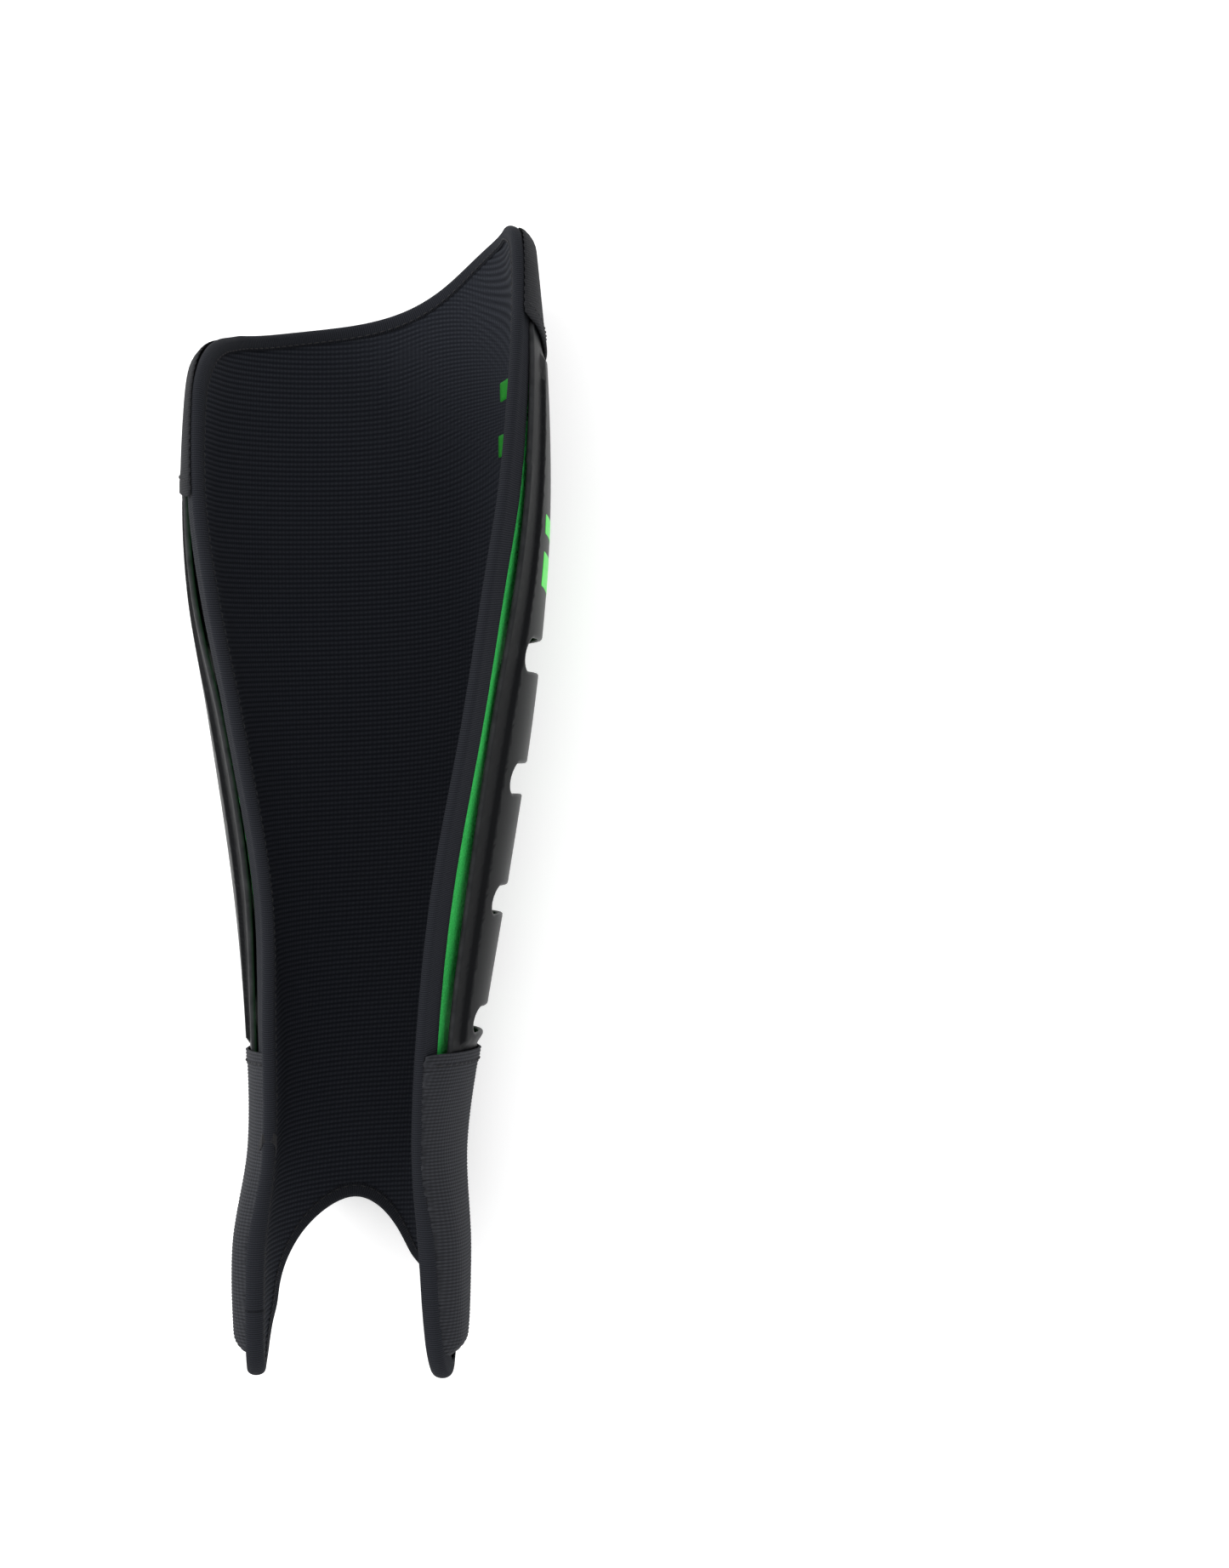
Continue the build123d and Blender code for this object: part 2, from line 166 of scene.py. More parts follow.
class PadWrap:
    """The middle of the pad: round the front, then straight up each flank."""

    def place(self, s, y, out):
        cut = section(y, s)
        along = np.abs(s)
        angle = np.minimum(along / cut.pad, cut.lean)
        beyond = np.maximum(0, along - cut.arc)
        x = (cut.pad + out) * np.sin(angle) + beyond * np.cos(angle)
        z = cut.height - (cut.pad + out) * np.cos(angle) + beyond * np.sin(angle)
        return np.stack([cut.middle + np.sign(s) * x, y - MIDDLE_Y + 0 * x, z], -1)

    def from_plan(self, points):
        x, y = np.array(points, float).T
        cut = section(y, x)
        across = np.clip((x - cut.middle) / cut.pad, -1, 1)
        kept = np.abs(across) < 0.995
        return np.stack([cut.pad * np.arcsin(across), y], -1)[kept]

    def from_side(self, points, side):
        y, z = np.array(points, float).T
        cut = section(y, side)
        arc_end = cut.height - cut.pad * np.cos(cut.lean)
        on_arc = cut.pad * np.arccos(np.clip((cut.height - z) / cut.pad, -1, 1))
        on_flank = cut.arc + (z - arc_end) / np.sin(cut.lean)
        return np.stack([side * np.where(z > arc_end, on_flank, on_arc), y], -1)

    def rear(self, side, start, end):
        y = np.linspace(start, end, 120)
        return np.stack([side * section(y, side).half, y], -1)


class ShellWrap:
    """The guard's round outside."""

    def place(self, s, y, out):
        cut = section(y, s)
        angle = s / cut.radius
        x = cut.middle + (cut.radius + out) * np.sin(angle)
        z = cut.height - (cut.radius + out) * np.cos(angle)
        return np.stack([x, y - MIDDLE_Y + 0 * x, z], -1)

    def from_plan(self, points):
        x, y = np.array(points, float).T
        cut = section(y, x)
        across = np.clip((x - cut.middle) / cut.radius, -1, 1)
        kept = np.abs(across) < 0.995
        return np.stack([cut.radius * np.arcsin(across), y], -1)[kept]

    def from_side(self, points, side):
        y, z = np.array(points, float).T
        cut = section(y, side)
        angle = np.arccos(np.clip((cut.height - z) / cut.radius, -1, 1))
        return np.stack([side * cut.radius * angle, y], -1)

    def rear(self, side, start, end):
        y = np.linspace(start, end, 120)
        cut = section(y, side)
        return np.stack([side * cut.radius * cut.rim, y], -1)


PAD = PadWrap()
SHELL = ShellWrap()

# ---- flat outlines ----


def spline(points, tangents=None, per_span=24):
    """A smooth curve through points, with clamped directions or free ends."""
    points = np.array(points, float)
    steps = np.linalg.norm(np.diff(points, axis=0), axis=1)
    n = len(points)
    matrix = np.zeros((n, n))
    right = np.zeros((n, 2))
    for k in range(1, n - 1):
        before, after = 1 / steps[k - 1], 1 / steps[k]
        matrix[k, k - 1 : k + 2] = before, 2 * (before + after), after
        right[k] = 3 * (
            (points[k] - points[k - 1]) * before**2 + (points[k + 1] - points[k]) * after**2
        )
    for k, inner, step in ((0, 1, steps[0]), (n - 1, n - 2, steps[-1])):
        if tangents is None:
            matrix[k, k], matrix[k, inner] = 2, 1
            right[k] = 3 * (points[max(k, inner)] - points[min(k, inner)]) / step
        else:
            matrix[k, k] = 1
            way = np.array(tangents[0 if k == 0 else 1], float)
            right[k] = way / np.linalg.norm(way)
    slopes = np.linalg.solve(matrix, right)
    t = np.linspace(0, 1, per_span, endpoint=False)[:, None]
    parts = []
    for k in range(n - 1):
        p, q, u, v = points[k], points[k + 1], slopes[k] * steps[k], slopes[k + 1] * steps[k]
        parts.append(
            p * (2 * t**3 - 3 * t**2 + 1)
            + u * (t**3 - 2 * t**2 + t)
            + q * (3 * t**2 - 2 * t**3)
            + v * (t**3 - t**2)
        )
    return np.vstack(parts + [points[-1:]])


def lengthened(curve, reach=12.0):
    """The curve with a straight run added at both ends."""
    first = curve[0] - curve[1]
    last = curve[-1] - curve[-2]
    start = curve[0] + first / np.linalg.norm(first) * reach
    end = curve[-1] + last / np.linalg.norm(last) * reach
    return np.vstack([start, curve, end])


def crossing(a, b):
    """Where polyline a first crosses polyline b: a's span, b's span and the point."""
    p, r = a[:-1, None], np.diff(a, axis=0)[:, None]
    q, s = b[None, :-1], np.diff(b, axis=0)[None]
    cross = r[..., 0] * s[..., 1] - r[..., 1] * s[..., 0]
    cross = np.where(np.abs(cross) < 1e-12, 1e-12, cross)
    gap = q - p
    t = (gap[..., 0] * s[..., 1] - gap[..., 1] * s[..., 0]) / cross
    u = (gap[..., 0] * r[..., 1] - gap[..., 1] * r[..., 0]) / cross
    hits = np.argwhere((t >= 0) & (t < 1) & (u >= 0) & (u < 1))
    i, j = hits[0]
    return i, j, a[i] + t[i, j] * (a[i + 1] - a[i])


def joined(curves):
    """Curves strung into one closed outline, each cut where it meets the next."""
    count = len(curves)
    meets = [crossing(curves[k], curves[(k + 1) % count]) for k in range(count)]
    parts = []
    for k, curve in enumerate(curves):
        _, start, start_point = meets[k - 1]
        end, _, end_point = meets[k]
        parts += [start_point[None], curve[start + 1 : end + 1], end_point[None]]
    return np.vstack(parts)


def evened(loop, step):
    """A closed outline with its points evenly spaced."""
    closed = np.vstack([loop, loop[:1]])
    length = np.concatenate([[0], np.cumsum(np.linalg.norm(np.diff(closed, axis=0), axis=1))])
    stops = np.linspace(0, length[-1], max(8, int(round(length[-1] / step))), endpoint=False)
    return np.stack([np.interp(stops, length, closed[:, k]) for k in (0, 1)], -1)


def softened(loop, reach):
    """A closed, evenly spaced outline with its corners rounded over a reach."""
    step = np.linalg.norm(loop[1] - loop[0])
    half = max(1, int(3 * reach / step))
    weights = np.exp(-0.5 * (np.arange(-half, half + 1) * step / reach) ** 2)
    weights /= weights.sum()
    return sum(w * np.roll(loop, k, axis=0) for w, k in zip(weights, range(-half, half + 1)))


def inset(loop, distance):
    """A closed outline moved to its left by a distance."""
    way = np.roll(loop, -1, axis=0) - np.roll(loop, 1, axis=0)
    way /= np.linalg.norm(way, axis=1)[:, None]
    return loop + distance * np.stack([-way[:, 1], way[:, 0]], -1)


def anticlockwise(loop):
    """The loop, turned round if it runs clockwise."""
    x, y = loop.T
    area = np.sum(x * np.roll(y, -1) - np.roll(x, -1) * y)
    return loop if area > 0 else loop[::-1]


def inside(points, loop):
    """Which points lie inside a closed outline."""
    x, y = points.T
    found = np.zeros(len(points), bool)
    for (ax, ay), (bx, by) in zip(loop, np.roll(loop, -1, axis=0)):
        spans = (ay > y) != (by > y)
        if spans.any():
            found[spans] ^= x[spans] < (bx - ax) * (y[spans] - ay) / (by - ay) + ax
    return found


def nearest(points, lines):
    """The nearest point of some finely divided lines: its index and how far it is."""
    every = np.vstack(lines)
    tree = kdtree.KDTree(len(every))
    for k, (x, y) in enumerate(every):
        tree.insert((x, y, 0), k)
    tree.balance()
    found = [tree.find((x, y, 0)) for x, y in points]
    return np.array([f[1] for f in found]), np.array([f[2] for f in found])


def distances(points, lines):
    """How far each point is from the nearest point of some finely divided lines."""
    return nearest(points, lines)[1]


def pad_outline():
    """The pad's whole edge: rear edges, top with its two corners, legs and arch."""
    top = lengthened(PAD.from_plan(spline(TOP_EDGE)), 15)
    arch = PAD.from_plan(spline(ARCH, ARCH_TANGENTS))
    nose = spline(LEG_NOSE)
    curves = [
        PAD.rear(-1, -PAST, PAST),
        lengthened(PAD.from_side(spline(OUTER_CORNER), -1)),
        top,
        lengthened(PAD.from_side(spline(PEAK_CORNER), 1)),
        PAD.rear(1, PAST, -PAST),
        lengthened(PAD.from_side(nose, 1)),
        lengthened(arch, 30),
        lengthened(PAD.from_side(nose, -1)[::-1]),
    ]
    return anticlockwise(softened(evened(joined(curves), 1.0), 2.2))


def shell_outline():
    """The shell's edge: rims, both knee corners, the top and the curved lower end."""
    top = [(x, y - SHELL_INSET) for x, y in spline(TOP_EDGE)]
    end = [(x, SHELL_END + END_RISE - 38 * ((x + 8) / 112) ** 2) for x in np.linspace(60, -60, 40)]
    curves = [
        SHELL.rear(-1, -PAST, PAST),
        lengthened(SHELL.from_side(spline(SHELL_OUTER_CORNER), -1)),
        lengthened(SHELL.from_plan(top), 15),
        lengthened(SHELL.from_side(spline(SHELL_PEAK_CORNER), 1)),
        SHELL.rear(1, PAST, -PAST),
        lengthened(SHELL.from_plan(end), 80),
    ]
    return anticlockwise(softened(evened(joined(curves), 1.0), 1.8))


def slot_outline(index, side):
    """One vent slot, round at both ends, on one flank."""
    y = SLOT_FIRST - index * SLOT_PITCH
    half = (SLOT_HEIGHT - index * SLOT_TAPER) / 2
    cut = section(y, side)
    low, high = (cut.height - cut.radius * cos(radians(a)) for a in (SLOT_LOW, SLOT_HIGH[side]))
    turn = np.linspace(0, pi, 14)
    upper = [(y + half * cos(t), high - half + half * sin(t)) for t in turn]
    lower = [(y - half * cos(t), low + half - half * sin(t)) for t in turn]
    loop = np.array(upper + lower + upper[:1])
    steps = np.linspace(0, len(loop) - 1, 400)
    loop = np.stack([np.interp(steps, np.arange(len(loop)), loop[:, k]) for k in (0, 1)], -1)
    return anticlockwise(evened(SHELL.from_side(loop[:-1], side), 0.6))


# ---- meshes ----


def make_object(name, places, faces, fields=None):
    """A smooth-shaded mesh object from places in millimetres."""
    mesh = bpy.data.meshes.new(name)
    mesh.from_pydata((np.asarray(places) * MM).tolist(), [], [tuple(f) for f in faces])
    for field, values in (fields or {}).items():
        values = np.asarray(values, float)
        kind = "FLOAT" if values.ndim == 1 else "FLOAT_VECTOR"
        layer = mesh.attributes.new(field, kind, "POINT")
        layer.data.foreach_set("value" if values.ndim == 1 else "vector", values.ravel())
    mesh.validate()
    mesh.shade_smooth()
    thing = bpy.data.objects.new(name, mesh)
    bpy.context.scene.collection.objects.link(thing)
    return thing


def flat_net(outline, holes, spacing, stretch, rings, guides=()):
    """Triangles over an outline with holes, and each point's distance from an edge.

    stretch widens the net along s, for relief that only varies along y."""
    edges = [outline] + [hole[::-1] for hole in holes]
    points = list(edges)
    depth = [np.zeros(len(edge)) for edge in edges]
    for ring in rings:
        for edge in edges:
            moved = inset(edge, ring)
            points.append(moved)
            depth.append(np.full(len(moved), ring))
    fixed = np.vstack(points)
    keep = 0.75 * spacing
    low, high = outline.min(0), outline.max(0)
    across = np.arange(low[0], high[0], spacing * stretch)
    along = np.arange(low[1], high[1], spacing)
    grid = np.stack(np.meshgrid(across, along), -1)
    grid[1::2, :, 0] += spacing * stretch / 2
    inner = np.vstack([*guides, grid.reshape(-1, 2)])
    inner = inner[inside(inner, outline)]
    for hole in holes:
        inner = inner[~inside(inner, hole)]
    edge_gap = distances(inner, edges)
    inner = inner[edge_gap > (rings[-1] if rings else 0) + keep * 0.8]
    edge_gap = distances(inner, edges)
    flat = np.vstack([fixed, inner])
    depth = np.concatenate(depth + [edge_gap])
    squeezed = flat / (stretch, 1)
    ties = []
    first = 0
    for edge in edges:
        ties += [(first + k, first + (k + 1) % len(edge)) for k in range(len(edge))]
        first += len(edge)
    _, _, faces, origins, _, _ = delaunay_2d_cdt([Vector(p) for p in squeezed], ties, [], 0, 1e-5)
    if len(origins) != len(flat):
        raise ValueError("two points of a flat net fell together")
    order = np.array([k[0] for k in origins])
    faces = order[np.array(faces)]
    centres = flat[faces].mean(1)
    wanted = inside(centres, outline)
    for hole in holes:
        wanted &= ~inside(centres, hole)
    return flat, depth, faces[wanted]


def slab(name, wrap, net, outer, inner, rounding, fields=None):
    """A closed sheet between two distances out from a wrap, with rounded edges."""
    flat, depth, faces = net
    s, y = flat.T
    top, bottom = outer + 0 * s, inner + 0 * s
    middle, half = (top + bottom) / 2, (top - bottom) / 2
    swell = np.sqrt(1 - (1 - np.minimum(depth / rounding, 1)) ** 2)
    edge = depth == 0
    upper = wrap.place(s, y, middle + half * swell)
    lower = wrap.place(s, y, middle - half * swell)[~edge]
    index = np.arange(len(flat))
    back = index.copy()
    back[~edge] = len(flat) + np.arange((~edge).sum())
    places = np.vstack([upper, lower])
    all_faces = np.vstack([faces[:, ::-1], back[faces]])
    flat3 = np.column_stack([s, y, np.zeros(len(s))]) * MM
    layers = {
        "flat": np.vstack([flat3, flat3[~edge] + (0, 0, MM)]),
        "depth": np.concatenate([depth, depth[~edge]]) * MM,
    }
    for field, values in (fields or {}).items():
        layers[field] = np.concatenate([values, values[~edge]])
    return make_object(name, places, all_faces, layers)


# ---- materials ----


class Nodes:
    """Short calls for building a material's nodes."""

    def __init__(self, name):
        self.material = bpy.data.materials.new(name)
        self.material.use_nodes = True
        self.tree = self.material.node_tree
        self.shader = self.tree.nodes["Principled BSDF"]

    def add(self, kind, links=None, **settings):
        node = self.tree.nodes.new(kind)
        for key, value in settings.items():
            setattr(node, key, value)
        for socket, value in (links or {}).items():
            self.plug(node.inputs[socket], value)
        return node

    def plug(self, socket, value):
        if isinstance(value, bpy.types.NodeSocket):
            self.tree.links.new(value, socket)
        else:
            socket.default_value = value

    def math(self, operation, a, b=0.0):
        return self.add("ShaderNodeMath", {0: a, 1: b}, operation=operation).outputs[0]

    def field(self, name):
        return self.add("ShaderNodeAttribute", attribute_name=name)

    def split(self, vector):
        return self.add("ShaderNodeSeparateXYZ", {0: vector}).outputs

    def noise(self, vector, scale, detail=3.0, rough=0.55):
        links = {"Vector": vector, "Scale": scale, "Detail": detail, "Roughness": rough}
        return self.add("ShaderNodeTexNoise", links).outputs["Fac"]

    def mix(self, share, a, b):
        node = self.add("ShaderNodeMix", data_type="RGBA")
        for socket, value in ((node.inputs[0], share), (node.inputs[6], a), (node.inputs[7], b)):
            if isinstance(value, tuple) and len(value) == 3:
                value = (*value, 1)
            self.plug(socket, value)
        return node.outputs[2]

    def bump(self, height, distance, strength=1.0):
        links = {"Height": height, "Distance": distance * MM, "Strength": strength}
        return self.add("ShaderNodeBump", links).outputs["Normal"]

    def finish(self, colour, roughness, normal=None, **rest):
        self.plug(self.shader.inputs["Base Color"], colour)
        self.plug(self.shader.inputs["Roughness"], roughness)
        if normal is not None:
            self.plug(self.shader.inputs["Normal"], normal)
        for socket, value in rest.items():
            self.plug(self.shader.inputs[socket.replace("_", " ")], value)
        return self.material


def halved(nodes, value):
    """A value from -1 to 1, brought to between 0 and 1, or one from 0 to 1 to its upper half."""
    links = {0: value, 1: 0.5, 2: 0.5}
    return nodes.add("ShaderNodeMath", links, operation="MULTIPLY_ADD").outputs[0]


def wave(nodes, value, pitch):
    """A wave from 0 to 1 along a value in metres."""
    turn = nodes.math("MULTIPLY", value, 2 * pi / (pitch * MM))
    return halved(nodes, nodes.math("SINE", turn))


def knit_lining():
    """Near-black ribbed knit with painted highlights on the rib crests, broken into loops, and a
    little fuzz.
    """
    n = Nodes("lining_knit")
    flat = n.field("flat").outputs["Vector"]
    crest = n.field("crest").outputs["Fac"]
    loops = wave(n, n.split(flat)[0], 1.7)
    fuzz = n.noise(flat, 1400, 4)
    patches = n.noise(flat, 28, 2)
    # painted highlight: the rib crests are made lighter, broken up by the knit's loops and fuzz
    lit = n.math("MULTIPLY", n.math("MULTIPLY", crest, halved(n, loops)), halved(n, fuzz))
    dark = n.mix(patches, (0.0054, 0.0066, 0.0100), (0.0080, 0.0092, 0.0128))
    colour = n.mix(lit, dark, (0.034, 0.037, 0.046))
    height = n.math("ADD", n.math("MULTIPLY", loops, 0.6), n.math("MULTIPLY", fuzz, 0.5))
    normal = n.bump(n.math("MULTIPLY", height, crest), 0.25, 0.8)
    return n.finish(colour, 0.9, normal, Specular_IOR_Level=0.1)


def binding_tape():
    """Folded tape with fine ribs across it, and painted highlights on the ribs."""
    n = Nodes("binding_tape")
    flat = n.field("flat").outputs["Vector"]
    along, around, _ = n.split(flat)
    ribs = wave(n, along, 0.8)
    warp = wave(n, around, 0.7)
    fuzz = n.noise(flat, 1800, 3)
    patches = n.noise(flat, 40, 3)
    base = n.mix(patches, (0.0070, 0.0078, 0.0104), (0.0105, 0.0113, 0.0145))
    # painted highlight: the tops of the ribs are made lighter, broken up by fuzz
    colour = n.mix(n.math("MULTIPLY", ribs, halved(n, fuzz)), base, (0.026, 0.028, 0.034))
    height = n.math("ADD", n.math("MULTIPLY", ribs, 0.8), n.math("MULTIPLY", warp, 0.25))
    height = n.math("ADD", height, n.math("MULTIPLY", fuzz, 0.35))
    return n.finish(colour, 0.86, n.bump(height, 0.16, 0.9), Specular_IOR_Level=0.08)


def elastic_sleeve():
    """Ribbed elastic: raised rows of short loops, with painted highlights on the crests."""
    n = Nodes("sleeve_elastic")
    flat = n.field("flat").outputs["Vector"]
    crest = n.field("crest").outputs["Fac"]
    loops = wave(n, n.split(flat)[0], 1.1)
    fuzz = n.noise(flat, 1500, 3)
    base = n.mix(n.noise(flat, 35, 2), (0.0090, 0.0095, 0.0118), (0.0135, 0.0142, 0.0170))
    # painted highlight: the crests of the rows are made lighter where the loops rise
    lit = n.math("MULTIPLY", crest, halved(n, n.math("MULTIPLY", loops, fuzz)))
    colour = n.mix(lit, base, (0.046, 0.048, 0.056))
    height = n.math("ADD", n.math("MULTIPLY", loops, 0.7), n.math("MULTIPLY", fuzz, 0.5))
    return n.finish(colour, 0.85, n.bump(height, 0.2, 0.8), Specular_IOR_Level=0.18)


def cap_knit():
    """Smooth stretch knit with very fine ribs, and painted highlights on the ribs."""
    n = Nodes("cap_knit")
    flat = n.field("flat").outputs["Vector"]
    s, y, _ = n.split(flat)
    ribs = wave(n, y, 0.9)
    loops = wave(n, s, 0.8)
    fuzz = n.noise(flat, 1600, 3)
    base = n.mix(n.noise(flat, 30, 2), (0.0095, 0.0100, 0.0118), (0.0140, 0.0147, 0.0168))
    # painted highlight: the ribs are made lighter, broken up by fuzz
    colour = n.mix(n.math("MULTIPLY", ribs, fuzz), base, (0.032, 0.033, 0.037))
    height = n.math("ADD", n.math("MULTIPLY", ribs, loops), n.math("MULTIPLY", fuzz, 0.6))
    return n.finish(colour, 0.84, n.bump(height, 0.14, 0.8), Specular_IOR_Level=0.14)


def shell_plastic():
    """Satin black moulding with a fine grain, rubbed brighter along its edges."""
    n = Nodes("shell_plastic")
    place = n.add("ShaderNodeTexCoord").outputs["Object"]
    grain = n.noise(place, 2600, 2, 0.6)
    patches = n.noise(place, 22, 4)
    rub = n.noise(place, 160, 4)
    edge = n.math("SUBTRACT", 1.0, n.math("MULTIPLY", n.field("depth").outputs["Fac"], 700))
    worn = n.math("MULTIPLY", n.math("MAXIMUM", edge, 0.0), rub)
    base = n.mix(patches, (0.0040, 0.0043, 0.0050), (0.0060, 0.0064, 0.0074))
    colour = n.mix(worn, base, (0.060, 0.062, 0.065))
    rough = n.add(
        "ShaderNodeMapRange", {"Value": patches, "To Min": 0.3, "To Max": 0.44}
    ).outputs["Result"]
    return n.finish(colour, rough, n.bump(grain, 0.05, 0.5), Specular_IOR_Level=0.05)


def foam_green():
    """Closed-cell foam: a cut face with open pores and slightly uneven colour."""
    n = Nodes("foam_green")
    place = n.add("ShaderNodeTexCoord").outputs["Object"]
    cells = n.add("ShaderNodeTexVoronoi", {"Vector": place, "Scale": 1500.0}).outputs["Distance"]
    fine = n.noise(place, 2200, 4, 0.7)
    patches = n.noise(place, 45, 3)
    base = n.mix(patches, (0.010, 0.330, 0.045), (0.018, 0.430, 0.066))
    colour = n.mix(n.math("MULTIPLY", fine, cells), base, (0.070, 0.60, 0.15))
    height = n.math("ADD", cells, fine)
    return n.finish(colour, 0.8, n.bump(height, 0.25, 0.7), Specular_IOR_Level=0.3)


def foam_black():
    """Dense black foam with fine closed cells."""
    n = Nodes("foam_black")
    place = n.add("ShaderNodeTexCoord").outputs["Object"]
    cells = n.add("ShaderNodeTexVoronoi", {"Vector": place, "Scale": 1500.0}).outputs["Distance"]
    colour = n.mix(cells, (0.008, 0.008, 0.009), (0.030, 0.030, 0.032))
    return n.finish(colour, 0.85, n.bump(cells, 0.2, 0.7), Specular_IOR_Level=0.3)


def print_green(name, strength):
    """Green ink with a slightly uneven surface. strength scales how bright it is."""
    n = Nodes(name)
    place = n.add("ShaderNodeTexCoord").outputs["Object"]
    spots = n.noise(place, 900, 3)
    dim, lit = ((0.014, level * strength, 0.018) for level in (0.56, 0.74))
    colour = n.mix(spots, dim, lit)
    return n.finish(colour, 0.38, n.bump(spots, 0.04, 0.5))


def thread_black():
    """Twisted black sewing thread."""
    n = Nodes("thread_black")
    place = n.add("ShaderNodeTexCoord").outputs["Object"]
    twist = n.noise(place, 4200, 2)
    colour = n.mix(twist, (0.010, 0.010, 0.011), (0.040, 0.040, 0.043))
    return n.finish(colour, 0.7, n.bump(twist, 0.08, 0.8), Specular_IOR_Level=0.2)


MATERIALS = {
    "lining_knit": knit_lining(),
    "binding_tape": binding_tape(),
    "sleeve_fabric": elastic_sleeve(),
    "cap_fabric": cap_knit(),
    "shell_plastic": shell_plastic(),
    "foam_green": foam_green(),
    "foam_black": foam_black(),
    "print_green": print_green("print_green", 1.0),
    "print_dark": print_green("print_dark", 0.3),
    "thread": thread_black(),
}


def settle(piece, slot, *nodes, look=None):
    """Gives a piece its material, hangs it on the root body and hides the parts it stands in for.
    """
    piece.data.materials.append(MATERIALS[look or slot])
    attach(piece, "root")
    if nodes:
        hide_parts(*nodes)
    return piece


# ---- shell ----

OUTLINE = pad_outline()


def top_of_plan(x, down):
    """How high the guard's top edge is over a point of its plan, moved down."""
    edge = spline(TOP_EDGE)
    order = np.argsort(edge[:, 0])
    return np.interp(x, edge[order, 0], edge[order, 1]) - down


def make_shell():
    """The moulded shell: a raised panel, a bead along each rim and the vent slots."""
    outline = shell_outline()
    holes = [slot_outline(i, side) for side in (-1, 1) for i in range(SLOT_COUNT)]
    y = np.arange(PANEL_END - 4, 150, 1.6)
    steps = []
    for side in (-1, 1):
        for shift in (-PANEL_SOFT, -0.3, 0.3, PANEL_SOFT):
            cut = section(y, side)
            at = side * cut.radius * (cut.rim - radians(FLANGE_ANGLE)) + shift
            steps.append(np.stack([at, y], -1))
    net = flat_net(outline, holes, 2.2, 1.0, (0.15, 0.45, 1.0, 1.5), steps)
    s, y = net[0].T
    cut = section(y, s)
    from_rim = cut.radius * cut.rim - np.abs(s)
    flange = cut.radius * radians(FLANGE_ANGLE)
    x = cut.middle + cut.radius * np.sin(s / cut.radius)
    raised = step_up(from_rim, flange - PANEL_SOFT, flange + PANEL_SOFT)
    raised *= step_up(top_of_plan(x, PANEL_TOP) - y, -0.8, 0.8)
    raised *= step_up(y, PANEL_END - 0.8, PANEL_END + 0.8)
    bead = BEAD_HEIGHT * (1 - step_up(from_rim, *BEAD_REACH)) * (y < BEAD_TOP)
    outer = -PANEL_STEP * (1 - raised) + bead
    shell = slab("outer_shell", SHELL, net, outer, outer - SHELL_WALL, 0.9)
    floor_trim(shell, 0.0)
    settle(shell, "shell_plastic", "shell")


def floor_trim(piece, level):
    """Flattens what would be under a level."""
    for vertex in piece.data.vertices:
        vertex.co.z = max(vertex.co.z, level * MM)


def make_marks():
    """Two slanted bars of ink on the flank, in place of the maker's print."""
    for k, (start, width) in enumerate(MARK_BARS):
        corners = [
            (start, MARK_LOW),
            (start - MARK_SLANT, MARK_HIGH),
            (start - MARK_SLANT - width, MARK_HIGH),
            (start - width, MARK_LOW),
        ]
        loop = SHELL.from_side(corners, 1)
        loop = anticlockwise(softened(evened(loop, 0.5), 0.5))
        net = flat_net(loop, [], 1.5, 1.0, (0.1,))
        mark = slab(f"shell_mark_{k + 1}", SHELL, net, 0.06, -0.05, 0.1)
        settle(mark, "print_green", *(["shell_mark"] if k == 0 else []))


make_shell()
make_marks()

# ---- pad ----

EDGE_SQUEEZE = 2.6  # the binding presses the foam's edge this much thinner
SQUEEZE_REACH = 8.0
RIB_PITCH = 1.8
RIB_HEIGHT = 0.32
RIB_RISE = 0.05  # the ribs climb a little towards the peak side
CLIMB_START = 22  # from here on they climb more
CLIMB_BEND = 14
CLIMB_LOW = 0.16
CLIMB_MORE = 1.1
CLIMB_Y = (100, 205)


def rib_phase(s, y):
    """Ribs counted up the shin. They climb ever steeper towards the knee peak."""
    beyond = np.log1p(np.exp((s - CLIMB_START) / CLIMB_BEND)) * CLIMB_BEND
    climb = CLIMB_LOW + CLIMB_MORE * step_up(y, *CLIMB_Y)
    return (y - RIB_RISE * s - climb * beyond) / RIB_PITCH


def make_foam():
    """The foam pad, a little uneven, and pressed thin along its edge."""
    outline = inset(evened(OUTLINE, 2.5), 1.0)
    net = flat_net(outline, [], 3.2, 1.0, (0.5, 1.5, 3.0))
    s, y = net[0].T
    pucker = 0.12 * np.sin(s * 0.9) * np.sin(y * 0.31) + 0.08 * np.sin(y * 1.7 + s)
    squeezed = EDGE_SQUEEZE * (1 - step_up(net[1], 0, SQUEEZE_REACH))
    foam = slab("green_foam_pad", PAD, net, PAD_HALF + pucker - squeezed, LINING - PAD_HALF, 1.0)
    settle(foam, "foam_green", "shin_foam")


def make_lining():
    """The ribbed cloth on the leg side of the foam."""
    outline = inset(evened(OUTLINE, 2.0), 1.2)
    net = flat_net(outline, [], RIB_PITCH / 4, 6.5, (0.6,))
    s, y = net[0].T
    crest = 0.5 + 0.5 * np.cos(2 * pi * rib_phase(s, y))
    fade = step_up(net[1], 0.5, 2.0)
    inner = -PAD_HALF - 0.10 - RIB_HEIGHT * crest * fade
    outer = LINING - PAD_HALF - 0.1
    lining = slab("knit_lining", PAD, net, outer, inner, 0.5, {"crest": crest * fade})
    settle(lining, "lining_knit", "lining")


LINING_MARKS = [(156.0, 149.0, 54.5), (137.0, 129.0, 61.5)]  # from y to y, and how far in
LINING_MARK_NEAR = 34.0  # in from the rear edge
LINING_MARK_SLANT = 2.5


